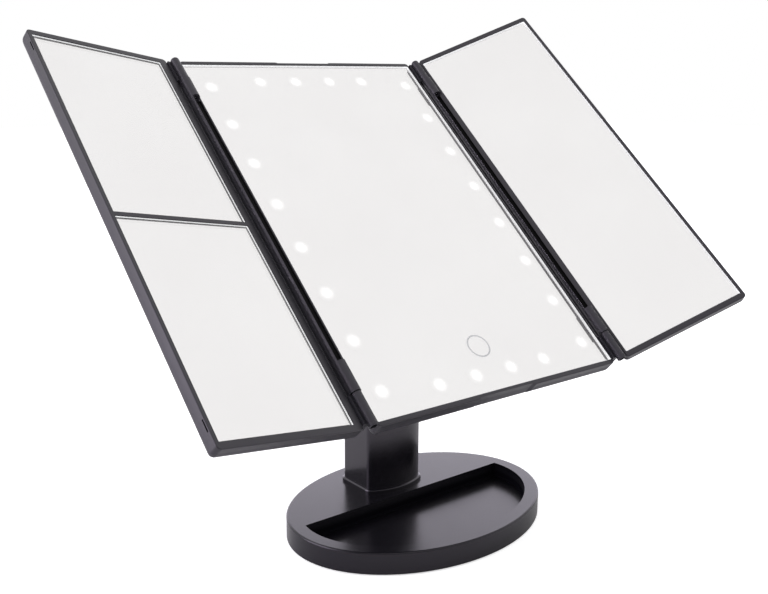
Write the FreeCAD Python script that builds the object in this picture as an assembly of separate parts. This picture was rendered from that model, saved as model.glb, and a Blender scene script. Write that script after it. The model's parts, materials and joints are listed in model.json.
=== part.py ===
import FreeCAD, Part
import math
import os

# Trifold vanity mirror on a tilting stand.  Millimetres and degrees, +Z up.
# The origin is the middle of the base's sole, and the mirror faces -Y.
# A panel is drawn flat and upright first: x right, y back from the face of its
# glass, z up from the middle of its height.  It is then folded, tilted and seated.

Vec = FreeCAD.Vector
RIGHT = Vec(1, 0, 0)
BACK = Vec(0, 1, 0)
UP = Vec(0, 0, 1)

# ------------------------------------------------------------------ pose at rest
rest_tilt = 48.8            # the head leans back this far from upright
left_fold = 13.2            # each wing stands this far forward of flat
right_fold = 29.4           # degrees, as the two above

# ------------------------------------------------------------------ mirror panels
panel_height = 248.8        # outside height of all three panels
glass_width = 166.0         # mirror seen between the centre panel's side rims
side_rim = 1.0              # face of the centre frame beside its glass
end_rim = 2.6               # face of the centre frame above and below its glass
lip = 0.3                   # how far each frame stands in front of its glass
pane = 2.0                  # thickness of every pane, which lies open in its frame
pane_corner = 0.5
frame_round = 0.5           # rounding of the frames' front edges
frame_depth = 3.0           # frame's side wall, measured back from the glass face
wall = 1.6                  # moulded walls of the cases
centre_depth = 10.0         # back of the centre case behind its glass face
centre_round = 4.0          # rounding of the centre case's back edges
wing_depth = 9.0            # back of a wing case behind its glass face
wing_round = 4.6            # rounding of the wing cases' back edges
corner = 2.2                # corner radius of every panel seen from the front
meeting_gap = 1.8           # between the closed wings' outer edges
wing_outer_rim = 2.2        # wing frame's face beside its glass, away from the hinge
wing_end_rim = 3.5          # wing frame's face above and below its glass
left_inner_rim = 4.8        # the same beside the hinge, left wing
right_inner_rim = 1.6       # the same beside the hinge, right wing
divider = 2.2               # bar between the left wing's two panes
divider_rise = 0.3          # how far that bar stands in front of the glass
divider_root = 0.5          # how far its ends reach into the rims
scoop_width = 40.8          # finger scoops in the centre panel's top and bottom edges
scoop_depth = 0.9
scoop_run = 2.0             # length of a scoop's sloping ends
slack = 0.1                 # clearance round a seated piece
notch_length = 6.0          # snap notches along a wing's outer side
notch_depth = 0.5
notch_width = 0.9
notch_inset = 9.0           # from a wing's end to the near end of a notch
notch_back = 0.3            # from the glass face back to a notch

# ------------------------------------------------------------------ fold hinges
hinge_side = 4.1            # from a hinge axis to each panel beside it
hinge_proud = 2.5           # the hinge axis stands this far in front of the glass
barrel_r = 3.0              # long barrel
spine_back = 4.2            # its squared back, behind the hinge axis
fin_gap = 0.5               # between that back's fin and the panel on the hinge's left
knuckle_r = 2.5             # end knuckles
pin_r = 1.2
pin_length = 27.0           # half in the long barrel, half in an end knuckle
pin_end_gap = 0.5           # left past a pin's end in its blind bore
running = 0.05              # radial clearance of a pin or shaft in its bore
knuckle_gap = 0.4           # between neighbouring knuckles
upper_knuckle = 18.1        # end knuckles reach this far in from the panel's ends
lower_knuckle = 18.4
upper_split = panel_height / 2 - upper_knuckle
lower_split = lower_knuckle - panel_height / 2
knuckle_drop = 1.4          # the upper knuckles end this far below the panel's top edge
knuckle_round = 1.4
end_recess_r = 1.7          # the lower knuckles' ends are hollow
end_recess = 2.0
upper_seat = 14.8           # closed stretches of the long barrel that hold the pins
lower_seat = 17.5
channel_top = upper_split - upper_seat
channel_bottom = lower_split + lower_seat
channel_left = -2.0         # the channel's left side, from the hinge axis
channel_floor = 3.0         # the channel's floor, behind the hinge axis
arm_front = 1.2             # an end knuckle's arm, from this depth behind the axis
web_back = 7.0              # back of the arms and of the long barrel's web
arm_inset = 2.4             # the arms stop short of the panel's ends
ear_gap = 0.3               # between an end knuckle and the ear beside it
ear_top = 1.4               # the ears stop short of the panel's ends
ear_bottom = 3.5
flange_reach = 1.7          # the right wing's frame reaches this far into the channel
flange_thick = 0.7
flange_root = 0.8           # and is rooted this far into the frame's side wall

# ------------------------------------------------------------------ lights and touch control
window_r = 3.9              # frosted window in the mirror's face
window_depth = 0.5
light_inset = 11.8          # side lights, from the edge of the seen glass
light_top = 16.5            # outermost side lights, from the ends of the seen glass
light_row = 12.4            # top and bottom lights, from the ends of the seen glass
light_drop = 1.2            # the whole ring of lights sits this far below the middle
side_lights = 8
row_lights = 4
row_pitch = 24.8
ring_r = 6.6                # touch ring on the lower part of the glass
ring_width = 0.9
ring_rise = 27.3            # ring's centre above the seen glass's lower end
ring_depth = 0.3
board = 1.0                 # thickness of the circuit boards
board_width = 9.0
led_side = 3.4
led_gap = 0.3               # between the lamp and the back of the glass
led_height = 1.1
touch_board_r = 9.0
touch_post_r = 4.0          # post of the case that holds the touch board
board_corner = 1.0

# ------------------------------------------------------------------ ribs inside the cases
rib = 1.2                   # thickness of every rib
rib_sink = 0.4              # ribs run this far into the case's back
rib_inset = 1.6             # ledges behind a pane, from the edge of its seen glass
wing_rib_inset = 5.0        # a wing's inner ledge, from the side of its case
divider_rib = 3.0           # a wing's middle ledges, from its middle, clear of the divider bar

# ------------------------------------------------------------------ battery box, switch and socket
cell_r = 5.25
cell_length = 44.5
cell_pitch = 11.2
cell_count = 4
contact_space = 4.0         # at each end of a cell
cell_clear = 0.2            # below the cells, on the box's floor
cell_cover = 0.3            # between the cells and the door
tip_r = 1.9                 # a cell's raised end
tip = 1.0
box_wall = 1.6
box_floor = 1.0
box_gap = 0.6               # between the pane and the box
box_bottom = 24.0           # lower outside wall of the box above the panel's middle
box_corner = 3.0
box_round = 1.2
door_thick = 1.6
door_land = 0.8             # width of the ledge that the door rests on
door_corner = 2.0
grip_half = 9.0             # finger grooves across the door
grip_count = 4
grip_pitch = 2.0
grip_width = 1.0
grip_depth = 0.5
grip_inset = 6.0
spring_r = 3.0
leaf_half = 4.0             # square plate of a contact
leaf = 0.5
switch_x = -34.0            # slide switch on the back of the centre case
socket_x = 34.0             # power socket beside it
control_gap = 0.5           # between the touch board's post and the main board
main_board_half = 8.0       # half height of the main board, and its margin at each end
main_board_corner = 1.5
knob_width = 3.2
knob_length = 4.0
knob_rise = 1.4
knob_gap = 0.3              # round the knob in its slot
knob_sink = 1.2             # the knob reaches this far inside the case's back wall
ridge_count = 3             # grip grooves of the knob
ridge_pitch = 1.1
ridge_width = 0.4
switch_travel = 3.0
switch_rim = 2.0            # the switch's housing round its slot
switch_depth = 3.4
switch_room = 1.4
socket_width = 7.6
socket_height = 2.6
socket_depth = 4.0          # inside the case's back wall
socket_shell = 0.4
socket_corner = 0.7
socket_back = 0.6           # closed rear wall of the socket
tongue_width = 4.8          # contact tongue inside the socket
tongue_thick = 0.6

# ------------------------------------------------------------------ tilt joint
pivot_y = 31.2
pivot_z = 138.0
glass_reach = 37.25         # from the pivot forward to the glass face
centre_rise = 19.6          # from the pivot up to the middle of the panel
tongue_half = 10.0
tongue_r = 11.5
washer = 0.8
washer_r = 9.0
shaft_r = 3.0
bolt_head_r = 5.0
bolt_head = 2.4
cap_r = 6.0
cap_thick = 0.9
plate_width = 56.0
plate_height = 42.0
plate_thick = 3.0
arm_half = 17.0             # half height of the tongue where it leaves the plate
plate_corner = 5.0
plate_screw_inset = 6.0     # bracket screws, from the plate's edges
plate_screw_bite = 1.4      # bracket screws reach this far into the case
relief_x = 6.0              # two pockets that lighten the arm, each side of its middle
relief_width = 4.4
relief_depth = 8.0
relief_end = 4.0

# ------------------------------------------------------------------ neck
neck_half = 19.5
neck_front = 14.5           # middle of the bowed front face
neck_bow = 6.2              # how far the front corners lie behind that
neck_back = 46.6
neck_seam = 36.0            # joint between the front and the rear shell
neck_corner = 3.4
neck_wall = 2.2
neck_top_r = 16.2
fork_front = 18.0           # the fork is open this far below the pivot in front
fork_back = 2.0             # and this far below the pivot at the rear
bead = 1.3                  # the bead round the foot stands out this far
bead_height = 2.4
bead_round = 1.0            # rounding of the bead's upper edge
spigot_inset = 1.0
spigot_fill = 6.0           # solid foot above the base's top
seam_screw_z = (34.0, 104.0)
seam_screw_length = 22.0
seam_post = 3.4             # half width of the posts that the seam screws hold

# ------------------------------------------------------------------ base
base_a = 81.0               # half length and half depth of the elliptical base
base_b = 60.6
base_height = 13.0
base_clear = 0.8            # between the base's lower edge and the table
base_wall = 2.2
base_roof = 1.8
base_round = 1.0
tray_rim = 8.1
tray_back = 8.3             # straight back edge of the tray
tray_floor = 4.4            # height of the tray's floor
tray_round = 1.2
sole_plate = 2.0
pad = 1.0
pad_inset = 5.0
sole_gap = 0.2              # the sole plate lies this far inside the shell's lower edge
boss_r = 3.2
base_screw_length = 8.0
neck_screw_length = 14.0
base_screws = ((-68.0, 14.0), (68.0, 14.0), (-38.0, 42.0), (38.0, 42.0))
neck_screws = ((-9.0, 26.0), (9.0, 26.0), (-9.0, 41.5), (9.0, 41.5))
screw_head_r = 2.6
screw_head = 1.2
screw_r = 1.2

# ------------------------------------------------------------------ worked out from the above
half_height = panel_height / 2
centre_half = glass_width / 2 + side_rim
hinge_x = centre_half + hinge_side
wing_reach = hinge_x - meeting_gap / 2
plate_bottom = base_clear + sole_gap
plate_top = plate_bottom + sole_plate
cavity_back = centre_depth - wall
ring_z = -half_height + end_rim + ring_rise
control_z = ring_z + touch_post_r + control_gap + main_board_half
board_front = pane + led_gap + led_height
box_floor_y = pane + box_gap
cell_axis_y = box_floor_y + box_floor + cell_clear + cell_r
box_back = cell_axis_y + cell_r + cell_cover + door_thick


# ------------------------------------------------------------------ drawing helpers
def block(x0, x1, y0, y1, z0, z1):
    return Part.makeBox(x1 - x0, y1 - y0, z1 - z0, Vec(x0, y0, z0))


def rod(start, direction, radius, length):
    return Part.makeCylinder(radius, length, start, direction)


def upright_edges(shape):
    """The straight edges that run from front to back."""
    return [e for e in shape.Edges
            if len(e.Vertexes) == 2 and abs(e.tangentAt(e.FirstParameter).y) > 0.999]


def standing_edges(shape):
    """The straight edges that run up."""
    return [e for e in shape.Edges
            if len(e.Vertexes) == 2 and abs(e.tangentAt(e.FirstParameter).z) > 0.999]


def slab(x0, x1, z0, z1, y0, y1, radius):
    """A plate with rounded corners as seen from the front."""
    body = block(x0, x1, y0, y1, z0, z1)
    if radius <= 0.05:
        return body
    return body.makeFillet(radius, upright_edges(body))


def round_rim(shape, y, radius):
    """Round the outline of a slab at depth y."""
    edges = [e for e in shape.Edges
             if all(abs(v.Point.y - y) < 0.001 for v in e.Vertexes)]
    return shape.makeFillet(radius, edges)


def joined(shapes):
    """Fuse shapes into one clean solid."""
    first = shapes[0]
    rest = list(shapes[1:])
    body = first.fuse(rest) if rest else first
    return body.removeSplitter()


def less(shape, tools):
    return shape.cut(tools)


def group(shapes):
    return Part.makeCompound(shapes)


def moved(shape, x, y, z):
    copy = shape.copy()
    copy.translate(Vec(x, y, z))
    return copy


def screw(head_at, direction, length):
    """A screw whose head's outer face is centred on head_at."""
    head = rod(head_at, direction, screw_head_r, screw_head)
    shank = rod(head_at + direction * screw_head, direction, screw_r - slack, length - screw_head)
    return joined([head, shank])


def screw_hole(head_at, direction, length):
    """The counterbored hole that takes that screw with a little slack."""
    head = rod(head_at - direction * slack, direction, screw_head_r + slack, screw_head + slack)
    shank = rod(head_at, direction, screw_r, length + slack)
    return joined([head, shank])


# ------------------------------------------------------------------ placing
def seat_head(shape):
    """From the centre panel's own frame to its place on the stand."""
    copy = moved(shape, 0, -glass_reach, centre_rise)
    copy.rotate(Vec(0, 0, 0), RIGHT, -rest_tilt)
    copy.translate(Vec(0, pivot_y, pivot_z))
    return copy


def fold_wing(shape, side):
    """From a hinge's own frame to the folded wing's place on the stand."""
    copy = shape.copy()
    angle = left_fold if side < 0 else -right_fold
    copy.rotate(Vec(0, 0, 0), UP, angle)
    copy.translate(Vec(side * hinge_x, -hinge_proud, 0))
    return seat_head(copy)


# ------------------------------------------------------------------ base
def oval(inset, z0, z1):
    ellipse = Part.Ellipse(Vec(0, 0, z0), base_a - inset, base_b - inset)
    face = Part.Face(Part.Wire(ellipse.toShape()))
    return face.extrude(UP * (z1 - z0))


def tray_form(grow, z0, z1):
    """The D-shaped tray's space, grown outwards by a wall."""
    keep = block(-base_a, base_a, -base_b, tray_back + grow, z0, z1)
    return oval(tray_rim - grow, z0, z1).common(keep)


def neck_form(inset, z0, z1):
    """The neck's section: flat back and sides, bowed front."""
    w = neck_half - inset
    front = neck_front + inset
    shoulder = neck_front + neck_bow + inset
    back = neck_back - inset
    arc = Part.Arc(Vec(-w, shoulder, z0), Vec(0, front, z0), Vec(w, shoulder, z0)).toShape()
    points = [Vec(w, shoulder, z0), Vec(w, back, z0), Vec(-w, back, z0), Vec(-w, shoulder, z0)]
    sides = [Part.makeLine(a, b) for a, b in zip(points[:-1], points[1:])]
    body = Part.Face(Part.Wire([arc] + sides)).extrude(UP * (z1 - z0))
    return body.makeFillet(max(neck_corner - inset, 0.4), standing_edges(body))


def make_base_shell():
    body = oval(0, base_clear, base_height)
    top = [e for e in body.Edges if abs(e.BoundBox.ZMin - base_height) < 0.001]
    body = body.makeFillet(base_round, top)
    tray = tray_form(0, tray_floor, base_height + 1)
    floor_rim = [e for e in tray.Edges if abs(e.BoundBox.ZMax - tray_floor) < 0.001]
    tray = tray.makeFillet(tray_round, floor_rim)
    hollow = oval(base_wall, plate_top, base_height - base_roof)
    hollow = less(hollow, [tray_form(base_wall, 0, base_height)])
    bosses = [rod(Vec(x, y, plate_top), UP, boss_r, base_height - plate_top) for x, y in base_screws]
    socket_wall = neck_form(spigot_inset - slack - base_wall, plate_top, base_height)
    hollow = less(hollow, bosses + [socket_wall])
    sole_room = oval(base_wall - slack, 0, plate_top)
    socket = neck_form(spigot_inset - slack, 0, base_height + 1)
    pilots = [rod(Vec(x, y, 0), UP, screw_r, base_height - base_roof) for x, y in base_screws]
    return less(body, [tray, hollow, sole_room, socket] + pilots)


def make_sole_plate():
    body = oval(base_wall, plate_bottom, plate_top)
    holes = [screw_hole(Vec(x, y, plate_bottom), UP, sole_plate) for x, y in base_screws + neck_screws]
    return less(body, holes)


def make_pad():
    return oval(pad_inset, 0, pad)


def base_fixings(places, length):
    return group([screw(Vec(x, y, plate_bottom), UP, length) for x, y in places])


# ------------------------------------------------------------------ neck
def neck_blank():
    """The whole neck before it is split into two shells."""
    top = pivot_z + neck_top_r
    column = neck_form(0, base_height, top)
    crown = rod(Vec(-base_a, pivot_y, pivot_z), RIGHT, neck_top_r, 2 * base_a)
    below = block(-base_a, base_a, neck_front - 1, neck_back + 1, 0, pivot_z)
    column = column.common(crown.fuse(below))
    foot = neck_form(-bead, base_height, base_height + bead_height)
    foot_top = [e for e in foot.Edges if abs(e.BoundBox.ZMin - base_height - bead_height) < 0.001]
    foot = foot.makeFillet(bead_round, foot_top)
    spigot = neck_form(spigot_inset, plate_top + slack, base_height + bead_height)
    body = column.fuse([foot, spigot])
    room_top = pivot_z - fork_front - 2 * neck_wall
    room = neck_form(neck_wall, base_height + spigot_fill, room_top)
    half = tongue_half + washer + 2 * slack
    fork = block(-half, half, 0, neck_back - neck_wall, pivot_z - fork_front, top + 1)
    gate = block(-half, half, 0, neck_back + 1, pivot_z - fork_back, top + 1)
    bore = rod(Vec(-base_a, pivot_y, pivot_z), RIGHT, shaft_r + running, 2 * base_a)
    recess = cap_thick + bolt_head + 2 * slack
    seats = [rod(Vec(s * neck_half, pivot_y, pivot_z), RIGHT * -s, cap_r + slack, recess) for s in (-1, 1)]
    pilots = [rod(Vec(x, y, 0), UP, screw_r, base_height + spigot_fill - 1) for x, y in neck_screws]
    return less(body, [room, fork, gate, bore] + seats + pilots)


def seam_bosses():
    """Posts inside the neck, rooted in both walls, that the two seam screws hold."""
    y0 = neck_front + neck_wall / 2
    y1 = neck_back - neck_wall / 2
    return [block(-seam_post, seam_post, y0, y1, z - seam_post, z + seam_post) for z in seam_screw_z]


def seam_holes():
    return [screw_hole(Vec(0, neck_back, z), -BACK, seam_screw_length) for z in seam_screw_z]


def make_neck_shells():
    body = neck_blank()
    body = less(body.fuse(seam_bosses()), seam_holes())
    front = body.common(block(-base_a, base_a, 0, neck_seam, 0, 2 * pivot_z))
    rear = body.common(block(-base_a, base_a, neck_seam, base_a, 0, 2 * pivot_z))
    return front, rear


def make_seam_screws():
    return group([screw(Vec(0, neck_back, z), -BACK, seam_screw_length) for z in seam_screw_z])


# ------------------------------------------------------------------ tilt joint, in the head's upright frame
def pivot_at(shape):
    return moved(shape, 0, pivot_y, pivot_z)


def make_shaft():
    inner = neck_half - cap_thick - bolt_head - 2 * slack
    shank = rod(Vec(-inner, 0, 0), RIGHT, shaft_r, inner + inner + bolt_head - slack)
    head = rod(Vec(-inner - bolt_head, 0, 0), RIGHT, bolt_head_r, bolt_head)
    return pivot_at(joined([head, shank]))


def make_nut():
    x0 = neck_half - cap_thick - bolt_head - slack
    corners = [Vec(x0, bolt_head_r * math.cos(math.radians(a)), bolt_head_r * math.sin(math.radians(a)))
               for a in range(0, 361, 60)]
    body = Part.Face(Part.makePolygon(corners)).extrude(RIGHT * (bolt_head - slack))
    return pivot_at(less(body, [rod(Vec(0, 0, 0), RIGHT, shaft_r + running, 2 * neck_half)]))


def make_caps():
    caps = [rod(Vec(s * neck_half, 0, 0), RIGHT * -s, cap_r, cap_thick) for s in (-1, 1)]
    return pivot_at(group(caps))


def make_washers():
    x0 = tongue_half + slack
    rings = []
    for s in (-1, 1):
        disc = rod(Vec(s * x0, 0, 0), RIGHT * s, washer_r, washer)
        rings.append(less(disc, [rod(Vec(s * x0, 0, 0), RIGHT * s, shaft_r + running, washer)]))
    return pivot_at(group(rings))


def bracket_screw_places():
    z0 = -centre_rise
    dx = plate_width / 2 - plate_screw_inset
    dz = plate_height / 2 - plate_screw_inset
    return [Vec(sx * dx, centre_depth + plate_thick, z0 + sz * dz) for sx in (-1, 1) for sz in (-1, 1)]


def make_bracket():
    """Plate on the centre case with a tongue back to the pivot, in the panel's frame."""
    z0 = -centre_rise
    y0 = centre_depth
    plate = slab(-plate_width / 2, plate_width / 2, z0 - plate_height / 2, z0 + plate_height / 2,
                 y0, y0 + plate_thick, plate_corner)
    reach = glass_reach - y0 - plate_thick
    spread = math.atan2(arm_half - tongue_r, reach)
    touch = Vec(0, glass_reach - tongue_r * math.sin(spread), tongue_r * math.cos(spread))
    side = [Vec(-tongue_half, y0 + plate_thick - 1, z0 - arm_half),
            Vec(-tongue_half, y0 + plate_thick - 1, z0 + arm_half),
            Vec(-tongue_half, touch.y, z0 + touch.z),
            Vec(-tongue_half, touch.y, z0 - touch.z)]
    arm = Part.Face(Part.makePolygon(side + side[:1])).extrude(RIGHT * 2 * tongue_half)
    eye = rod(Vec(-tongue_half, glass_reach, z0), RIGHT, tongue_r, 2 * tongue_half)
    relief = [block(s * relief_x - relief_width / 2, s * relief_x + relief_width / 2,
                    y0 - 1, y0 + plate_thick + relief_depth,
                    z0 - arm_half + relief_end, z0 + arm_half - relief_end) for s in (-1, 1)]
    bore = rod(Vec(-tongue_half, glass_reach, z0), RIGHT, shaft_r + running, 2 * tongue_half)
    holes = [screw_hole(p, -BACK, plate_thick) for p in bracket_screw_places()]
    return less(joined([plate, arm, eye]), relief + [bore] + holes)


# ------------------------------------------------------------------ hinge knuckles, in a hinge's own frame
def long_barrel():
    """Open-fronted barrel carried by the panel on its right."""
    z0 = lower_split + knuckle_gap / 2
    z1 = upper_split - knuckle_gap / 2
    front = hinge_proud - lip
    low = ear_bottom - half_height
    tube = rod(Vec(0, 0, z0), UP, barrel_r, z1 - z0)
    spine = block(-barrel_r, barrel_r, 0, spine_back, z0, z1)
    fin = block(fin_gap - hinge_side, 0, front, spine_back, z0, z1)
    web = block(0, hinge_side - slack, front, web_back, z0, z1)
    ears = block(knuckle_r + ear_gap, hinge_side - slack, front, web_back, low, half_height - ear_top)
    tie = block(hinge_side - 2 * slack, hinge_side + wall - slack,
                hinge_proud + frame_depth + slack, web_back, low, half_height - arm_inset)
    channel = block(channel_left, hinge_side, -barrel_r - 1, channel_floor, channel_bottom, channel_top)
    bores = [rod(Vec(0, 0, z1), -UP, pin_r + running, upper_seat + knuckle_gap),
             rod(Vec(0, 0, z0), UP, pin_r + running, lower_seat + knuckle_gap)]
    return less(joined([tube, spine, fin, web, ears, tie]), [channel] + bores)


def end_knuckles():
    """Two closed knuckles carried by the panel on the hinge's left."""
    spans = ((upper_split + knuckle_gap / 2, half_height - knuckle_drop, half_height - arm_inset, knuckle_round),
             (lower_split - knuckle_gap / 2, -half_height, -half_height + arm_inset, frame_round))
    made = []
    for root, tip, arm_end, rounding in spans:
        way = UP if tip > root else -UP
        tube = rod(Vec(0, 0, root), way, knuckle_r, abs(tip - root))
        crown = [e for e in tube.Edges if max(abs(e.BoundBox.ZMin - tip), abs(e.BoundBox.ZMax - tip)) < 0.001]
        tube = tube.makeFillet(rounding, crown)
        low, high = sorted((root, arm_end))
        arm = block(-hinge_side + slack, 0, arm_front, web_back, low, high)
        tie = block(-hinge_side - wall + slack, -hinge_side + 2 * slack,
                    hinge_proud + frame_depth + slack, web_back, low, high)
        bore = rod(Vec(0, 0, root), way, pin_r + running, pin_length / 2 + pin_end_gap)
        hollows = [bore] if way.z > 0 else [bore, rod(Vec(0, 0, tip), UP, end_recess_r, end_recess)]
        made.append(less(joined([tube, arm, tie]), hollows))
    return made


def hinge_pins():
    """Upper and lower pin, each half in the long barrel and half in an end knuckle."""
    reach = pin_length / 2
    return group([rod(Vec(0, 0, z - reach), UP, pin_r, 2 * reach) for z in (upper_split, lower_split)])


# ------------------------------------------------------------------ centre panel, in its own frame
def centre_slab(inset, y0, y1):
    return slab(-centre_half + inset, centre_half - inset, -half_height + inset, half_height - inset,
                y0, y1, max(corner - inset, 0.3))


def scoops():
    """Shallow finger scoops in the top and bottom edges."""
    made = []
    w = scoop_width / 2
    for s in (-1, 1):
        edge = s * half_height
        floor = edge - s * scoop_depth
        left = [(-w, edge + s), (-w, edge), (scoop_run - w, floor)]
        right = [(-x, z) for x, z in reversed(left)]
        outline = [Vec(x, -lip - 1, z) for x, z in left + right]
        made.append(Part.Face(Part.makePolygon(outline + outline[:1])).extrude(BACK * (centre_depth + lip)))
    return made


def light_places():
    """Middles of the frosted windows, as (x, z)."""
    x = glass_width / 2 - light_inset
    seen = half_height - end_rim
    top = seen - light_top
    step = 2 * top / (side_lights - 1)
    places = [(s * x, top - i * step) for s in (-1, 1) for i in range(side_lights)]
    start = -row_pitch * (row_lights - 1) / 2
    places += [(start + i * row_pitch, s * (seen - light_row)) for s in (1, -1) for i in range(row_lights)]
    return [(px, pz - light_drop) for px, pz in places]


def ring_place():
    return 0.0, ring_z


def make_centre_glass():
    x = glass_width / 2
    z = half_height - end_rim
    body = slab(-x, x, -z, z, 0, pane, pane_corner)
    pockets = [rod(Vec(px, -1, pz), BACK, window_r, 1 + window_depth) for px, pz in light_places()]
    rx, rz = ring_place()
    return less(body, pockets + [ring_form(rx, rz)])


def ring_form(x, z):
    outer = rod(Vec(x, 0, z), BACK, ring_r + ring_width / 2, ring_depth)
    return less(outer, [rod(Vec(x, 0, z), BACK, ring_r - ring_width / 2, ring_depth)])


def make_light_windows():
    return group([rod(Vec(x, 0, z), BACK, window_r, window_depth) for x, z in light_places()])


def frame_solid(x0, x1, z0, z1, glass):
    """A frame: outline x0..x1 by z0..z1 round the window that its pane lies in."""
    body = slab(x0, x1, z0, z1, -lip, frame_depth, corner)
    front = [e for e in body.Edges if all(abs(v.Point.y + lip) < 0.001 for v in e.Vertexes)]
    body = body.makeFillet(frame_round, front)
    gx0, gx1, gz0, gz1 = glass
    window = slab(gx0 - slack, gx1 + slack, gz0 - slack, gz1 + slack,
                  -lip - 1, frame_depth, pane_corner + slack)
    return less(body, [window])


def make_centre_frame():
    gx = glass_width / 2
    gz = half_height - end_rim
    body = frame_solid(-centre_half, centre_half, -half_height, half_height, (-gx, gx, -gz, gz))
    return less(body, scoops())


def box_sides():
    """Outside of the battery box: x half width, lower and upper z."""
    half = cell_count * cell_pitch / 2 + box_wall
    return half, box_bottom, box_bottom + cell_length + 2 * contact_space + 2 * box_wall


def make_centre_case():
    body = centre_slab(0, frame_depth, centre_depth)
    body = round_rim(body, centre_depth, centre_round)
    hollow = centre_slab(wall, frame_depth - 1, cavity_back)
    hollow = round_rim(hollow, cavity_back, centre_round - wall)
    shell = less(body, [hollow])
    half, low, high = box_sides()
    box = round_rim(slab(-half, half, low, high, box_floor_y, box_back, box_corner), box_back, box_round)
    cells_room = block(-half + box_wall, half - box_wall, box_floor_y + box_floor, box_back + 1,
                       low + box_wall, high - box_wall)
    edge = box_wall - door_land
    door_room = slab(-half + edge, half - edge, low + edge, high - edge,
                     box_back - door_thick, box_back + 1, door_corner)
    solids = [shell, box] + inner_ribs()
    knuckles = [moved(k, hinge_x, -hinge_proud, 0) for k in end_knuckles()]
    barrel = moved(long_barrel(), -hinge_x, -hinge_proud, 0)
    body = joined(solids + knuckles + [barrel])
    return less(body, [cells_room, door_room] + scoops() + case_openings())


def inner_ribs():
    """Ledges that back the pane and posts that carry the boards."""
    y1 = cavity_back + rib_sink
    gx = glass_width / 2 - rib_inset
    gz = half_height - end_rim - rib_inset
    t = rib
    ribs = [block(-gx, -gx + t, pane, y1, -gz, gz), block(gx - t, gx, pane, y1, -gz, gz),
            block(-gx, gx, pane, y1, gz - t, gz), block(-gx, gx, pane, y1, -gz, -gz + t)]
    board_back = board_front + board
    x = glass_width / 2 - light_inset
    seen = half_height - end_rim
    top = seen - light_top
    for s in (-1, 1):
        ribs.append(block(s * x - t / 2, s * x + t / 2, board_back, y1, -top - light_drop, top - light_drop))
        z = s * (seen - light_row) - light_drop
        row = row_pitch * (row_lights - 1) / 2
        ribs.append(block(-row, row, board_back, y1, z - t / 2, z + t / 2))
    rx, rz = ring_place()
    ribs.append(rod(Vec(rx, pane + slack + board, rz), BACK, touch_post_r, y1 - pane - slack - board))
    return ribs


def switch_slot():
    half = knob_width / 2 + knob_gap
    reach = (knob_length + switch_travel) / 2 + knob_gap
    return switch_x - half, switch_x + half, control_z - reach, control_z + reach


def case_openings():
    """Slot for the switch's knob, mouth of the socket and holes for the bracket's screws."""
    x0, x1, z0, z1 = switch_slot()
    slot = block(x0, x1, cavity_back - 1, centre_depth + 1, z0, z1)
    mouth = slab(socket_x - socket_width / 2 - slack, socket_x + socket_width / 2 + slack,
                 control_z - socket_height / 2 - slack, control_z + socket_height / 2 + slack,
                 cavity_back - 1, centre_depth + 1, socket_corner + slack)
    holes = [rod(p + BACK * -plate_thick * 2, BACK, screw_r, plate_thick * 3) for p in bracket_screw_places()]
    return [slot, mouth] + holes


def light_board(x, z, half_x, half_z):
    """Circuit board behind a line of lights, with its middle at (x, z)."""
    return slab(x - half_x, x + half_x, z - half_z, z + half_z,
                board_front, board_front + board, board_corner)


def make_side_board(side):
    x = side * (glass_width / 2 - light_inset)
    half_z = half_height - end_rim - light_top + board_width / 2
    return light_board(x, -light_drop, board_width / 2, half_z)


def make_row_board(side):
    z = side * (half_height - end_rim - light_row) - light_drop
    half_x = row_pitch * (row_lights - 1) / 2 + board_width / 2
    return light_board(0, z, half_x, board_width / 2)


def make_lamps():
    y = pane + led_gap
    half = led_side / 2
    return group([block(x - half, x + half, y, y + led_height, z - half, z + half)
                  for x, z in light_places()])


def make_touch_board():
    x, z = ring_place()
    return rod(Vec(x, pane + slack, z), BACK, touch_board_r, board)


def make_cells():
    half, low, high = box_sides()
    z0 = low + box_wall + contact_space
    start = -cell_pitch * (cell_count - 1) / 2
    made = []
    for i in range(cell_count):
        x = start + i * cell_pitch
        up = i % 2 == 0
        body = rod(Vec(x, cell_axis_y, z0 if up else z0 + tip), UP, cell_r, cell_length - tip)
        tip_z = z0 + cell_length - tip if up else z0
        made.append(joined([body, rod(Vec(x, cell_axis_y, tip_z), UP, tip_r, tip)]))
    return group(made)


def make_contacts():
    """A spring at each cell's flat end and a plate at its tip."""
    half, low, high = box_sides()
    z0 = low + box_wall
    z1 = high - box_wall
    start = -cell_pitch * (cell_count - 1) / 2
    made = []
    for i in range(cell_count):
        x = start + i * cell_pitch
        at_low = i % 2 == 0
        for bottom in (True, False):
            root = z0 if bottom else z1
            way = UP if bottom else -UP
            face = root + way.z * leaf
            plate = block(x - leaf_half, x + leaf_half, cell_axis_y - leaf_half, cell_axis_y + leaf_half,
                          min(root, face), max(root, face))
            seat = Vec(x, cell_axis_y, face)
            reach = contact_space - leaf - slack
            if bottom == at_low:
                coil = Part.makeCone(spring_r, tip_r, reach, seat, way)
            else:
                coil = rod(seat, way, tip_r, reach)
            made.append(joined([plate, coil]))
    return group(made)


def make_door():
    half, low, high = box_sides()
    edge = box_wall - door_land + slack
    y0 = box_back - door_thick
    body = slab(-half + edge, half - edge, low + edge, high - edge, y0, box_back, door_corner - slack)
    grips = [block(-grip_half, grip_half, box_back - grip_depth, box_back + 1, z, z + grip_width)
             for z in (low + grip_inset + i * grip_pitch for i in range(grip_count))]
    return less(body, grips)


def make_switch_body():
    y1 = cavity_back
    x0, x1, z0, z1 = switch_slot()
    body = block(x0 - switch_rim, x1 + switch_rim, y1 - switch_depth, y1, z0 - switch_rim, z1 + switch_rim)
    room = block(x0, x1, y1 - switch_room, y1 + 1, z0, z1)
    return less(body, [room])


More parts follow.
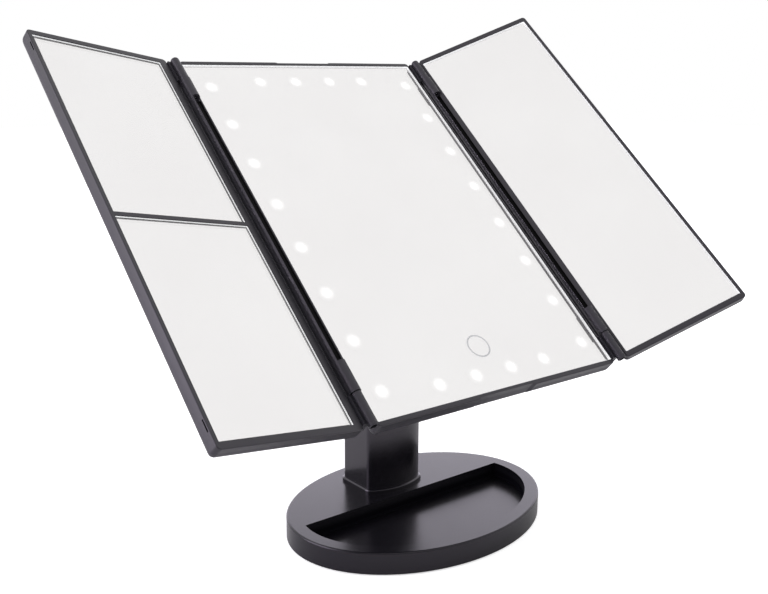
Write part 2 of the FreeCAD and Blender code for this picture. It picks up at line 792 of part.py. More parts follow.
def make_switch_knob():
    z = control_z - switch_travel / 2
    face = centre_depth + knob_rise
    body = block(switch_x - knob_width / 2, switch_x + knob_width / 2, cavity_back - knob_sink, face,
                 z - knob_length / 2, z + knob_length / 2)
    start = z - ridge_pitch * (ridge_count - 1) / 2 - ridge_width / 2
    starts = [start + i * ridge_pitch for i in range(ridge_count)]
    grooves = [block(switch_x - knob_width, switch_x + knob_width, face - ridge_width, face + 1,
                     low, low + ridge_width) for low in starts]
    return less(body, grooves)


def make_socket():
    w = socket_width / 2
    h = socket_height / 2
    back = cavity_back - socket_depth
    body = slab(socket_x - w, socket_x + w, control_z - h, control_z + h,
                back, centre_depth, socket_corner)
    w = w - socket_shell
    h = h - socket_shell
    mouth = slab(socket_x - w, socket_x + w, control_z - h, control_z + h,
                 back + socket_back, centre_depth + 1, socket_corner - socket_shell / 2)
    tongue = block(socket_x - tongue_width / 2, socket_x + tongue_width / 2,
                   back + socket_back / 2, centre_depth - socket_back,
                   control_z - tongue_thick / 2, control_z + tongue_thick / 2)
    return joined([less(body, [mouth]), tongue])


def make_main_board():
    """Circuit board behind the switch and the socket, which it carries."""
    m = main_board_half
    y1 = cavity_back - socket_depth
    return slab(switch_x - m, socket_x + m, control_z - m, control_z + m, y1 - board, y1, main_board_corner)


# ------------------------------------------------------------------ wings, in a hinge's frame, +x outwards
def wing_glass_span(inner_rim):
    return hinge_side + inner_rim, wing_reach - wing_outer_rim


def make_wing_frame(inner_rim, with_divider):
    x0, x1 = wing_glass_span(inner_rim)
    gz = half_height - wing_end_rim
    body = frame_solid(hinge_side, wing_reach, -half_height, half_height, (x0, x1, -gz, gz))
    if with_divider:
        bar = block(x0 - divider_root, x1 + divider_root, -divider_rise, pane, -divider / 2, divider / 2)
        body = joined([body, bar])
    return less(body, snap_notches())


def snap_notches():
    made = []
    for s in (-1, 1):
        near = s * (half_height - notch_inset)
        far = near - s * notch_length
        made.append(block(wing_reach - notch_depth, wing_reach + 1, notch_back, notch_back + notch_width,
                          min(near, far), max(near, far)))
    return made


def make_wing_case():
    body = slab(hinge_side, wing_reach, -half_height, half_height, frame_depth, wing_depth, corner)
    body = round_rim(body, wing_depth, wing_round)
    inner = slab(hinge_side + wall, wing_reach - wall, -half_height + wall, half_height - wall,
                 frame_depth - 1, wing_depth - wall, max(corner - wall, 0.3))
    shell = less(body, [round_rim(inner, wing_depth - wall, wing_round - wall)])
    t = rib
    x0, x1 = hinge_side + wing_rib_inset, wing_reach - wing_outer_rim - rib_inset
    gz = half_height - wing_end_rim - rib_inset
    y1 = wing_depth - wall + rib_sink
    ribs = [block(x0, x0 + t, pane, y1, -gz, gz), block(x1 - t, x1, pane, y1, -gz, gz),
            block(x0, x1, pane, y1, gz - t, gz), block(x0, x1, pane, y1, -gz, -gz + t)]
    ribs += [block(x0, x1, pane, y1, s * divider_rib - t / 2, s * divider_rib + t / 2) for s in (-1, 1)]
    return joined([shell] + ribs)


def wing_pane(inner_rim, z0, z1):
    x0, x1 = wing_glass_span(inner_rim)
    return slab(x0, x1, z0, z1, 0, pane, pane_corner)


def mirrored(shape):
    return shape.mirror(Vec(0, 0, 0), RIGHT)


def to_hinge(shape):
    """Panel depth is counted from the glass, hinge depth from the axis."""
    return moved(shape, 0, hinge_proud, 0)


def make_left_wing():
    gz = half_height - wing_end_rim
    mid = divider / 2 + slack
    case = mirrored(to_hinge(make_wing_case()))
    return {
        "left_wing_frame": mirrored(to_hinge(make_wing_frame(left_inner_rim, True))),
        "left_wing_case": joined([case] + end_knuckles()),
        "left_upper_mirror": mirrored(to_hinge(wing_pane(left_inner_rim, mid, gz))),
        "left_lower_mirror": mirrored(to_hinge(wing_pane(left_inner_rim, -gz, -mid))),
    }


def make_right_wing():
    gz = half_height - wing_end_rim
    frame = to_hinge(make_wing_frame(right_inner_rim, False))
    y0 = hinge_proud - lip
    flange = block(hinge_side - flange_reach, hinge_side + flange_root, y0, y0 + flange_thick,
                   channel_bottom + slack, channel_top - slack)
    return {
        "right_wing_frame": joined([frame, flange]),
        "right_wing_case": joined([to_hinge(make_wing_case()), long_barrel()]),
        "right_mirror": to_hinge(wing_pane(right_inner_rim, -gz, gz)),
        "right_hinge_pins": hinge_pins(),
    }


# ------------------------------------------------------------------ the whole mirror
def make_stand():
    front, rear = make_neck_shells()
    return {
        "base_shell": make_base_shell(),
        "base_sole_plate": make_sole_plate(),
        "base_pad": make_pad(),
        "base_screws": base_fixings(base_screws, base_screw_length),
        "neck_screws": base_fixings(neck_screws, neck_screw_length),
        "neck_front_shell": front,
        "neck_rear_shell": rear,
        "neck_seam_screws": make_seam_screws(),
        "tilt_shaft": make_shaft(),
        "tilt_nut": make_nut(),
        "tilt_caps": make_caps(),
        "tilt_washers": make_washers(),
    }


def make_head():
    return {
        "tilt_bracket": make_bracket(),
        "bracket_screws": group([screw(p, -BACK, plate_thick + plate_screw_bite)
                                 for p in bracket_screw_places()]),
        "centre_frame": make_centre_frame(),
        "centre_case": make_centre_case(),
        "centre_mirror": make_centre_glass(),
        "light_windows": make_light_windows(),
        "touch_ring": ring_form(*ring_place()),
        "touch_sensor_board": make_touch_board(),
        "light_board_left": make_side_board(-1),
        "light_board_right": make_side_board(1),
        "light_board_top": make_row_board(1),
        "light_board_bottom": make_row_board(-1),
        "lamps": make_lamps(),
        "main_board": make_main_board(),
        "power_socket": make_socket(),
        "switch_body": make_switch_body(),
        "switch_knob": make_switch_knob(),
        "battery_cells": make_cells(),
        "battery_contacts": make_contacts(),
        "battery_door": make_door(),
        "left_hinge_pins": moved(hinge_pins(), -hinge_x, -hinge_proud, 0),
    }


os.makedirs("parts", exist_ok=True)
nodes = dict(make_stand())
nodes.update({name: seat_head(shape) for name, shape in make_head().items()})
nodes.update({name: fold_wing(shape, -1) for name, shape in make_left_wing().items()})
nodes.update({name: fold_wing(shape, 1) for name, shape in make_right_wing().items()})
for name, shape in nodes.items():
    shape.exportStep("parts/" + name + ".step")
    box = shape.BoundBox
    print(name, len(shape.Solids), "solids", round(shape.Volume, 1), "mm3", shape.isValid(),
          [round(v, 1) for v in (box.XMin, box.XMax, box.YMin, box.YMax, box.ZMin, box.ZMax)])
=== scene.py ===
# %% [markdown]
# ## A trifold vanity mirror, dressed in Blender
# The construction is already done: every casing, hinge, screw and pane comes in as a fixed frame at its
# real size.  This lesson gives each surface its finish, and swaps a few plain solids for finer ones.
# The frame is loaded first, because every later place and size is read from it.

# %% Load the frame
import json
import math
import bmesh
import bpy
from mathutils import Matrix, Vector


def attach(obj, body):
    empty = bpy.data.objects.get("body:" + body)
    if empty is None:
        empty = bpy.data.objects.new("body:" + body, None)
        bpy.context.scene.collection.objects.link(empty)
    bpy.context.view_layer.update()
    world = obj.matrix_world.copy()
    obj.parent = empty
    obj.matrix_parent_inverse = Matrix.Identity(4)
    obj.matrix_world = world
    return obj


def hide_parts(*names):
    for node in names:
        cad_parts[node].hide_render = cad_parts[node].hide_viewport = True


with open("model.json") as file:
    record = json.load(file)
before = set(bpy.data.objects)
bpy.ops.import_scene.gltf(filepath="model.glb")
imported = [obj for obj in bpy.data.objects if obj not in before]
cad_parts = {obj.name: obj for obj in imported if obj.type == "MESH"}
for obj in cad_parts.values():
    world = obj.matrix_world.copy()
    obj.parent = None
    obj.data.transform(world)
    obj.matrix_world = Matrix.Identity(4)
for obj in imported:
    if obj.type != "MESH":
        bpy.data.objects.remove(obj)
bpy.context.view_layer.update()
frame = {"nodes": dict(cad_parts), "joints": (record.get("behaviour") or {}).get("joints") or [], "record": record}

MM = 0.001

# %% [markdown]
# ### Where the panels stand
# The three panels are flat, but the head leans back and the wings are folded forward.  It would be
# possible to work in world coordinates, but a pane is much easier to draw flat and upright.  So each
# panel gets a place: a matrix whose x runs along its width, y back from the hinges' axes and z up its
# height.  The joints already hold these directions: a fold axis runs up the panel, and the battery door
# lifts off straight back.  A fold's lower limit is the pose in line with the centre, which gives the fold
# at rest.

# %% Places of the three panels
joints = {j["name"]: j for j in frame["joints"]}
RIGHT = Vector((1, 0, 0))
panel_up = Vector(joints["power_switch_slide"]["axis"])
panel_back = Vector(joints["battery_door_lift"]["axis"])
left_hinge = Vector(joints["left_wing_fold"]["pos_m"])
right_hinge = Vector(joints["right_wing_fold"]["pos_m"])


def place(origin, across, back):
    """Matrix from a panel drawn flat and upright to its place in the world."""
    columns = Matrix((across, back, panel_up)).transposed().to_4x4()
    return Matrix.Translation(origin) @ columns


def wing_place(hinge, side, joint):
    """Place of a wing folded forward at rest; side is -1 for the left wing and 1 for the right."""
    fold = math.radians(-joints[joint]["range_deg"][0])
    across = RIGHT * math.cos(fold) - panel_back * (side * math.sin(fold))
    back = panel_back * math.cos(fold) + RIGHT * (side * math.sin(fold))
    return place(hinge, across, back)


places = {
    "head": place((left_hinge + right_hinge) / 2, RIGHT, panel_back),
    "left_wing": wing_place(left_hinge, -1, "left_wing_fold"),
    "right_wing": wing_place(right_hinge, 1, "right_wing_fold"),
}
print("panel leans back", round(math.degrees(math.asin(panel_up.y)), 1), "degrees")

# %% [markdown]
# ### Reading sizes from the frame
# A node is one mesh, and identical fasteners share it.  Its separate solids are found by merging a copy's
# doubled corners and walking from corner to corner.  Each solid's box, measured in a panel's own place,
# gives the size and seat of whatever will stand there.

# %% Boxes of a node's solids


def merged_copy(node, where):
    """A node's mesh with its doubled corners merged, in a place's own axes."""
    copy = bmesh.new()
    copy.from_mesh(frame["nodes"][node].data)
    bmesh.ops.remove_doubles(copy, verts=copy.verts, dist=0.001 * MM)
    copy.transform(where.inverted())
    return copy


def box_of(group):
    """Lowest and highest corner of a group of vertices."""
    return [Vector(pick(v.co[i] for v in group) for i in range(3)) for pick in (min, max)]


def seat_of(group):
    """Middle of a group's box, rounded, so that solids always come in the same order."""
    low, high = box_of(group)
    return [round(c, 4) for c in (low + high) / 2]


def islands(copy):
    """Groups of joined vertices, in the order of their seats."""
    groups, waiting = [], set(copy.verts)
    while waiting:
        group = {waiting.pop()}
        edge = list(group)
        while edge:
            near = {e.other_vert(v) for v in edge for e in v.link_edges} - group
            group |= near
            edge = list(near)
        waiting -= group
        groups.append(group)
    return sorted(groups, key=seat_of)


def solid_boxes(node, where):
    """Lowest and highest corner of each solid of a node, in a place's own axes."""
    copy = merged_copy(node, where)
    boxes = [box_of(group) for group in islands(copy)]
    copy.free()
    return boxes


glass_low, glass_high = solid_boxes("centre_mirror", places["head"])[0]
print("centre glass", [round(c / MM, 1) for c in glass_high - glass_low], "mm")

# %% [markdown]
# ### Small tools for materials and node trees
# Node trees are wordy when each link is a line of its own.  `add` makes a node, applies its settings and
# fills its sockets in one call: a socket's value may be a number, a colour or another node's output.
# The other tools are the few patterns and sums that every finish below is made of.

# %% Node helpers


def fill(tree, socket, value):
    """Link an output to a socket, or set the socket to a plain value."""
    if isinstance(value, bpy.types.NodeSocket):
        tree.links.new(value, socket)
    else:
        socket.default_value = value


def add(tree, kind, inputs=None, **settings):
    """A new node with its settings made and its sockets filled."""
    node = tree.nodes.new(kind)
    for key, value in settings.items():
        setattr(node, key, value)
    for key, value in (inputs or {}).items():
        fill(tree, node.inputs[key], value)
    return node


def number_math(tree, operation, *values):
    """A sum on numbers."""
    return add(tree, "ShaderNodeMath", dict(enumerate(values)), operation=operation).outputs[0]


def vector_math(tree, operation, *values):
    """A sum on vectors, whose result is a number for a length or a dot product."""
    node = add(tree, "ShaderNodeVectorMath", dict(enumerate(values)), operation=operation)
    return node.outputs["Value" if operation in ("LENGTH", "DOT_PRODUCT") else "Vector"]


def ranged(tree, value, low, high, start=0.25, stop=0.75):
    """Stretch start..stop to low..high.  A noise's useful part is about 0.25..0.75."""
    return add(tree, "ShaderNodeMapRange", {"Value": value, "From Min": start, "From Max": stop,
                                            "To Min": low, "To Max": high}).outputs["Result"]


def mixed(tree, factor, first, second):
    """A colour between two colours."""
    node = add(tree, "ShaderNodeMix", {0: factor, 6: first, 7: second}, data_type="RGBA")
    return node.outputs[2]


print("node helpers ready")

# %% Material helpers


def feed(tree, shader, **values):
    """Fill a shader's sockets, which are named with _ for each space."""
    for key, value in values.items():
        fill(tree, shader.inputs[key.replace("_", " ")], value)


def opened(made):
    """A material's tree and shader."""
    return made.node_tree, made.node_tree.nodes["Principled BSDF"]


def new_finish(name, **values):
    """A material, its tree and its shader, whose named sockets are set."""
    made = bpy.data.materials.new(name)
    made.use_nodes = True
    tree, shader = opened(made)
    feed(tree, shader, **values)
    return made, tree, shader


def here(tree):
    """The point on the piece in metres."""
    return add(tree, "ShaderNodeTexCoord").outputs["Object"]


def object_point(tree, scale=(1, 1, 1)):
    """The point on the piece, with its axes scaled as wanted."""
    return add(tree, "ShaderNodeMapping", {"Vector": here(tree), "Scale": scale}).outputs["Vector"]


def noise(tree, point, size_mm, detail=3.0):
    """Soft random pattern whose features are about size_mm wide."""
    return add(tree, "ShaderNodeTexNoise", {"Vector": point, "Scale": 1 / (size_mm * MM),
                                            "Detail": detail}, normalize=True).outputs["Fac"]


def relief(tree, height, height_mm):
    """Small bumps that stand up to height_mm proud."""
    return add(tree, "ShaderNodeBump", {"Height": height, "Strength": 1.0,
                                        "Distance": height_mm * MM}).outputs["Normal"]


def grey(level, cool=0.0):
    """A neutral colour, a little bluer when cool is above 0."""
    return (level * (1 - cool * 0.5), level * (1 - cool * 0.8), level * (1 + cool), 1)


print("material helpers ready")

# %% [markdown]
# ### Black mouldings
# Every casing is black styrene, but no two finishes on it are the same.  The tool for the base was
# polished, so it mirrors the neck at a low angle; the frames have a satin skin, and the cases a fine
# spark-eroded grain.  One function makes them all.  A wide, faint cloud varies the shade, a middle one
# the gloss, and a fine one raises the grain, so that no surface is a single flat value.

# %% Black plastic


def black_plastic(name, shade, gloss, grain_mm, grain_height_mm, cool=0.04, shine=0.5):
    """Moulded black plastic.  gloss is the shader's roughness, low for a polished tool."""
    made, tree, shader = new_finish(name, Specular_Tint=(0.96, 0.90, 1.0, 1), Specular_IOR_Level=shine)
    cloud_mm, handling_mm = 38.0, 9.0
    point = object_point(tree)
    cloud = ranged(tree, noise(tree, point, cloud_mm, 4.0), 0.0, 1.0)
    handling = noise(tree, point, handling_mm, 5.0)
    grain = noise(tree, point, grain_mm, 2.0)
    feed(tree, shader,
         Base_Color=mixed(tree, cloud, grey(shade * 0.90, cool), grey(shade * 1.12, cool)),
         Roughness=ranged(tree, handling, gloss * 0.94, gloss * 1.07),
         Normal=relief(tree, grain, grain_height_mm))
    return made


print("black plastic ready")

# %% [markdown]
# ### Where a black moulding stays dull, and where shade is painted
# Two places never get the finish of the rest.  The corner that runs round the floor of the tray is dull.
# The floor of the deep channel in each hinge is dull too, and carries painted shade: a near-black colour
# that stands in for the shade deep down in the channel.  They could be faces with a material of their own,
# but a casing's mesh stays as the frame gives it, so each place is told by its measures instead: heights
# and an oval for the tray, and a thin box at each hinge for the channels.

# %% Dull places, and painted shade in the channels
tray_oval = (74.5, 54.1)  # half width and half depth of the tray's curved wall, mm
tray_bands = ((0.0, 1.0, 4.402, 4.412), (1.0, 0.0, 6.0, 12.5))  # share from, share to, heights in mm
channel_floor = ((1.05, 3.10), (3.0, 0.2), (1.5, 90.0))  # middle and reach across, back and up, mm


def dull_corner(made):
    """The corner round the tray's floor is dull, because a polishing wheel can't reach it."""
    tree, shader = opened(made)
    spot = here(tree)
    height = add(tree, "ShaderNodeSeparateXYZ", {"Vector": spot}).outputs["Z"]
    to_oval = (*(1 / (half * MM) for half in tray_oval), 0)
    away = vector_math(tree, "LENGTH", vector_math(tree, "MULTIPLY", spot, to_oval))
    dull_and_shaded = ranged(tree, away, 1.0, 0.0, 0.985, 1.0)
    for low, high, start, stop in tray_bands:
        band = ranged(tree, height, low, high, start * MM, stop * MM)
        dull_and_shaded = number_math(tree, "MULTIPLY", dull_and_shaded, band)
    gloss = shader.inputs["Roughness"].links[0].from_socket
    feed(tree, shader,
         Roughness=number_math(tree, "ADD", gloss, ranged(tree, dull_and_shaded, 0.0, 0.55, 0.0, 1.0)),
         Specular_IOR_Level=ranged(tree, dull_and_shaded, 0.5, 0.0, 0.0, 0.8))
    return made


def painted_shade_in_channels(made):
    """Painted shade: the floor of each hinge's channel is near-black and barely reflects, standing in for the
    shade deep in the channel.
    """
    tree, shader = opened(made)
    spot = here(tree)
    dull_and_shaded = 0.0
    for hinge, body in ((left_hinge, "head"), (right_hinge, "right_wing")):
        local = add(tree, "ShaderNodeMapping",
                    {"Vector": spot, "Location": hinge, "Rotation": places[body].to_euler()},
                    vector_type="TEXTURE").outputs["Vector"]
        axes = add(tree, "ShaderNodeSeparateXYZ", {"Vector": local}).outputs
        inside = 1.0
        for value, (middle, reach) in zip(axes, channel_floor):
            near = number_math(tree, "COMPARE", value, middle * MM, reach * MM)
            inside = number_math(tree, "MULTIPLY", inside, near)
        dull_and_shaded = number_math(tree, "MAXIMUM", dull_and_shaded, inside)
    colour = shader.inputs["Base Color"].links[0].from_socket
    feed(tree, shader,
         # Painted shade: inside each channel box the colour turns near-black.
         Base_Color=mixed(tree, dull_and_shaded, colour, grey(0.004)),
         Specular_IOR_Level=ranged(tree, dull_and_shaded, 0.5, 0.04, 0.0, 1.0))
    return made


# The tray's corner is only dull; the channel floors are dull and carry painted shade.
print("dull places: the tray's corner and 2 channels")

# %% The black finishes
finishes = {
    "base_plastic": dull_corner(black_plastic("polished_black", 0.007, 0.24, 0.9, 0.003, 0.20)),
    "neck_plastic": black_plastic("neck_black", 0.007, 0.20, 0.8, 0.003, 0.20, 0.8),
    "frame_plastic": black_plastic("satin_frame_black", 0.022, 0.34, 0.45, 0.005, 0.10),
    # The cases' hinge channels carry painted shade.
    "case_plastic": painted_shade_in_channels(black_plastic("grained_case_black", 0.024, 0.44, 0.55, 0.014, 0.12)),
    "tilt_plastic": black_plastic("bracket_black", 0.026, 0.40, 0.6, 0.010),
    "door_plastic": black_plastic("door_black", 0.034, 0.44, 0.55, 0.014),
    "knob_plastic": black_plastic("knob_black", 0.045, 0.52, 0.3, 0.010),
    "sole_plastic": black_plastic("sole_black", 0.040, 0.55, 0.7, 0.020),
}
print("black finishes:", len(finishes))

# %% [markdown]
# ### Rubber, metal and boards
# The anti-slip pad is a closed-cell foam sheet: small cells pit its surface, which a Voronoi pattern gives.
# Screws and pins are zinc-plated, with fine, level scratches.  The lamp boards carry a white mask so
# that they throw light forward.  Paint, masks and mouldings in pale plastic differ only in their two
# shades, gloss and grain, so one function makes them all.

# %% Other finishes


def foam_rubber(name, shade, cell_mm):
    """Matt rubber whose surface is pitted by small cells."""
    made, tree, shader = new_finish(name)
    point = object_point(tree)
    cells = add(tree, "ShaderNodeTexVoronoi", {"Vector": point, "Scale": 1 / (cell_mm * MM)})
    pits = ranged(tree, cells.outputs["Distance"], 0.0, 1.0, 0.0, 0.6)
    cloud = ranged(tree, noise(tree, point, 20.0), 0.0, 1.0)
    feed(tree, shader,
         Base_Color=mixed(tree, cloud, grey(shade * 0.8), grey(shade * 1.3)),
         Roughness=ranged(tree, pits, 0.78, 0.94, 0.0, 1.0),
         Normal=relief(tree, pits, 0.05))
    return made


def plated_metal(name, colour, gloss, scratch_mm):
    """Plated metal with clouds of tarnish and fine, level scratches."""
    made, tree, shader = new_finish(name, Metallic=1.0)
    tarnish = ranged(tree, noise(tree, object_point(tree), 6.0, 5.0), 0.0, 1.0)
    scratches = noise(tree, object_point(tree, (1, 1, 14)), scratch_mm, 3.0)
    dark = (*(c * 0.78 for c in colour[:3]), 1)
    feed(tree, shader,
         Base_Color=mixed(tree, tarnish, dark, colour),
         Roughness=ranged(tree, scratches, gloss * 0.7, gloss * 1.4),
         Normal=relief(tree, scratches, 0.004))
    return made


def coated(name, low, high, gloss, pattern_mm, height_mm):
    """A painted, masked or moulded coat whose colour drifts between two shades."""
    made, tree, shader = new_finish(name)
    drift = noise(tree, object_point(tree), pattern_mm, 4.0)
    feed(tree, shader,
         Base_Color=mixed(tree, ranged(tree, drift, 0.0, 1.0), low, high),
         Roughness=ranged(tree, drift, gloss * 0.8, gloss * 1.25),
         Normal=relief(tree, drift, height_mm))
    return made


finishes["pad_rubber"] = foam_rubber("foam_rubber", 0.03, 0.7)
finishes["steel"] = plated_metal("zinc_plate", (0.62, 0.62, 0.64, 1), 0.30, 0.5)
finishes["contact"] = plated_metal("nickel_plate", (0.74, 0.72, 0.68, 1), 0.20, 0.4)
finishes["washer"] = coated("acetal", (0.70, 0.69, 0.65, 1), (0.80, 0.79, 0.76, 1), 0.40, 3.0, 0.01)
finishes["board"] = coated("white_mask", (0.80, 0.82, 0.80, 1), (0.90, 0.91, 0.90, 1), 0.35, 2.0, 0.01)
finishes["lamp"] = coated("phosphor", (0.95, 0.86, 0.45, 1), (0.98, 0.94, 0.70, 1), 0.30, 1.0, 0.01)
print("finishes:", len(finishes))

# %% [markdown]
# ### Sleeves of the cells
# The cells show when the battery door is off.  Each wears a plain dark sleeve with a pale band near each
# end and no lettering, and its ends are bare metal.  The bands could be pieces of their own, but a sleeve
# is printed film, so they are drawn by the distance from the cell's middle along the panel's height.

# %% Cell sleeves
pale_from, bare_from = (7.6, 7.4), (2.1, 2.0)  # mm from a cell's end over which each of them sets in


def cell_sleeve():
    """A dark sleeve with a pale band near each end, and bare metal at the very ends."""
    made = coated("cell_sleeve", (0.10, 0.11, 0.13, 1), (0.13, 0.14, 0.17, 1), 0.28, 5.0, 0.002)
    tree, shader = opened(made)
    low, high = solid_boxes("battery_cells", places["head"])[0]
    middle = panel_up.dot(places["head"] @ ((low + high) / 2))
    end = (high.z - low.z) / 2
    along = vector_math(tree, "DOT_PRODUCT", here(tree), panel_up)
    away = number_math(tree, "ABSOLUTE", number_math(tree, "SUBTRACT", along, middle))
    band, bare = (ranged(tree, away, 0.0, 1.0, end - start * MM, end - stop * MM)
                  for start, stop in (pale_from, bare_from))
    sleeve = shader.inputs["Base Color"].links[0].from_socket
    banded = mixed(tree, band, sleeve, (0.60, 0.57, 0.50, 1))
    feed(tree, shader, Base_Color=mixed(tree, bare, banded, (0.62, 0.62, 0.63, 1)), Metallic=bare)
    return made


finishes["cell"] = cell_sleeve()
print("finishes:", sorted(finishes))

# %% [markdown]
# ### Giving the finishes to the frame
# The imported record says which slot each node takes.  A node that keeps its shape only has its material
# slots filled.  The mirrors, dots, ring, screws and contacts get finer pieces of their own further down.

# %% Finish every node that stays
slot_of = {s["node"]: s["material_slot"] for s in frame["record"]["subparts"]}
for name, node in frame["nodes"].items():
    wanted = finishes.get(slot_of[name])
    if wanted:
        for index in range(len(node.material_slots)):
            node.material_slots[index].material = wanted
print("dressed", sum(slot_of[n] in finishes for n in frame["nodes"]), "nodes")

# %% [markdown]
# ### Silvered glass
# A mirror isn't a shiny sheet: it is 2 mm of clear glass with the silver on its far side.  That is why a
# pale band and then a fine line run along a rim: the first is the glass's ground edge, seen through the
# glass, and the second is the sealing paint where the silver stops.  A flat metallic face would lose both,
# so the pane is a real slab with a clear front, pale sides, a silver back and a painted border round it.
# It is set a hair inside its seat, so that no face of it lies exactly on a face of the case.
# The ground edge and the pale seal also glow faintly: that is painted light, standing in for the light that
# doesn't reach them through the glass.

# %% Glass, silver and seals
pane_gap = 0.03 * MM
glass, _, _ = new_finish("clear_glass", Base_Color=(0.985, 1.0, 0.992, 1), Roughness=0.0, IOR=1.5,
                         Transmission_Weight=1.0)


def with_painted_glow(made, strength):
    """Painted light: a faint, even glow on a surface behind the glass, standing in for light that doesn't reach it
    through the glass.
    """
    tree, shader = opened(made)
    feed(tree, shader, Emission_Color=(0.98, 0.98, 1.0, 1), Emission_Strength=strength)
    return made


# Painted light: the ground edge and the pale seal glow faintly, standing in for light that doesn't reach them
# through the glass.
ground_edge = with_painted_glow(coated("ground_edge", (0.88, 0.89, 0.89, 1), (0.93, 0.94, 0.94, 1),
                              0.6, 3.0, 0.001), 0.55)
pale_seal = with_painted_glow(coated("pale_seal", (0.46, 0.45, 0.46, 1), (0.52, 0.51, 0.52, 1),
                            0.6, 4.0, 0.001), 0.45)
dark_seal = coated("dark_seal", (0.06, 0.055, 0.06, 1), (0.10, 0.095, 0.10, 1), 0.6, 4.0, 0.001)


def haze_and_colour(tree):
    """A wide, faint cloud, and the silvering's colour that drifts with it."""
    haze = noise(tree, object_point(tree), 60.0, 3.0)
    colour = mixed(tree, ranged(tree, haze, 0.0, 1.0), (0.868, 0.842, 0.846, 1), (0.892, 0.868, 0.872, 1))
    return haze, colour


def silver():
    """Silvering with a trace of haze, so that its gloss isn't the same all over."""
    made, tree, shader = new_finish("silvering", Metallic=1.0)
    haze, colour = haze_and_colour(tree)
    feed(tree, shader, Base_Color=colour, Roughness=ranged(tree, haze, 0.0, 0.004))
    return made


finishes["mirror"] = silver()
print("glass, silver and 2 seals")

# %% Panes


def loose_object(name, data):
    """A linked object for a mesh, light or camera, or for a bmesh, which is used up."""
    if isinstance(data, bmesh.types.BMesh):
        shape, data = data, bpy.data.meshes.new(name)
        shape.to_mesh(data)
        shape.free()
    made = bpy.data.objects.new(name, data)
    bpy.context.scene.collection.objects.link(made)
    return made


def as_piece(name, shape, body, *materials):
    """Put a finished mesh in the scene, riding on a body."""
    piece = loose_object(name, shape)
    for material in materials:
        piece.data.materials.append(material)
    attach(piece, body)
    return piece


def rounded_outline(low, high, radius, steps=6):
    """Corner points of a rectangle with rounded corners, in x and z."""
    corners = [(high.x - radius, high.z - radius, 0), (low.x + radius, high.z - radius, 90),
               (low.x + radius, low.z + radius, 180), (high.x - radius, low.z + radius, 270)]
    points = []
    for x, z, start in corners:
        for step in range(steps + 1):
            angle = math.radians(start + 90 * step / steps)
            points.append((x + radius * math.cos(angle), z + radius * math.sin(angle)))
    return points


def silvered_pane(node, body, seal, border_mm):
    """Clear front with a fine arris, pale ground sides, silver back with a sealed border."""
    where = places[body]
    low, high = solid_boxes(node, where)[0]
    radius, smallest, arris, border = 0.5 * MM, 0.05 * MM, 0.12 * MM, border_mm * MM
    front, back = low.y + pane_gap, high.y - pane_gap
    rings = [(arris, front), (0, front + arris), (0, back), (border, back)]
    clear, silvered, ground, sealed = range(4)
    made = bmesh.new()
    loops = []
    for inset, y in rings:
        inner = Vector((inset, 0, inset))
        outline = rounded_outline(low + inner, high - inner, max(radius - inset, smallest))
        loops.append([made.verts.new((x, y, z)) for x, z in outline])
    made.faces.new(loops[0])
    made.faces.new(reversed(loops[3])).material_index = silvered
    for material, (row, behind) in zip((clear, ground, sealed), zip(loops, loops[1:])):
        for index in range(len(row)):
            after = (index + 1) % len(row)
            side = made.faces.new((row[after], row[index], behind[index], behind[after]))
            side.material_index = material
    bmesh.ops.recalc_face_normals(made, faces=made.faces)
    made.transform(where)
    piece = as_piece(node + "_glass", made, body, glass, finishes["mirror"], ground_edge, seal)
    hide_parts(node)
    return piece


panes = [silvered_pane("centre_mirror", "head", pale_seal, 0.7),
         silvered_pane("left_upper_mirror", "left_wing", dark_seal, 1.2),
         silvered_pane("left_lower_mirror", "left_wing", dark_seal, 0.9),
         silvered_pane("right_mirror", "right_wing", pale_seal, 0.7)]
print("panes:", [p.name for p in panes])

# %% [markdown]
# ### Growing repeated pieces with Geometry Nodes
# Dots, screws and springs all repeat.  Each starts as a mesh of loose points, one for each copy, that also
# stores which way the copy faces.  A tree puts the copies there, joins them into one mesh and sets their
# material.  The tree's sizes are named inputs.  The result is read off as a plain mesh, because instances
# and live modifiers don't survive an export.

# %% Point clouds and trees


def seats(name, points, facing):
    """Loose points, each with the direction that its copy faces."""
    mesh = bpy.data.meshes.new(name)
    mesh.from_pydata([tuple(p) for p in points], [], [])
    store = mesh.attributes.new("facing", "FLOAT_VECTOR", "POINT")
    for row, direction in zip(store.data, facing):
        row.vector = direction
    return mesh


def new_tree(name, sizes):
    """A Geometry Nodes tree with a geometry input, a material input and named sizes."""
    tree = bpy.data.node_groups.new(name, "GeometryNodeTree")
    tree.is_modifier = True
    tree.interface.new_socket("Geometry", in_out="INPUT", socket_type="NodeSocketGeometry")
    tree.interface.new_socket("Material", in_out="INPUT", socket_type="NodeSocketMaterial")
    for size, value in sizes.items():
        kind = "NodeSocketInt" if isinstance(value, int) else "NodeSocketFloat"
        tree.interface.new_socket(size, in_out="INPUT", socket_type=kind)
    tree.interface.new_socket("Geometry", in_out="OUTPUT", socket_type="NodeSocketGeometry")
    return tree, tree.nodes.new("NodeGroupInput").outputs


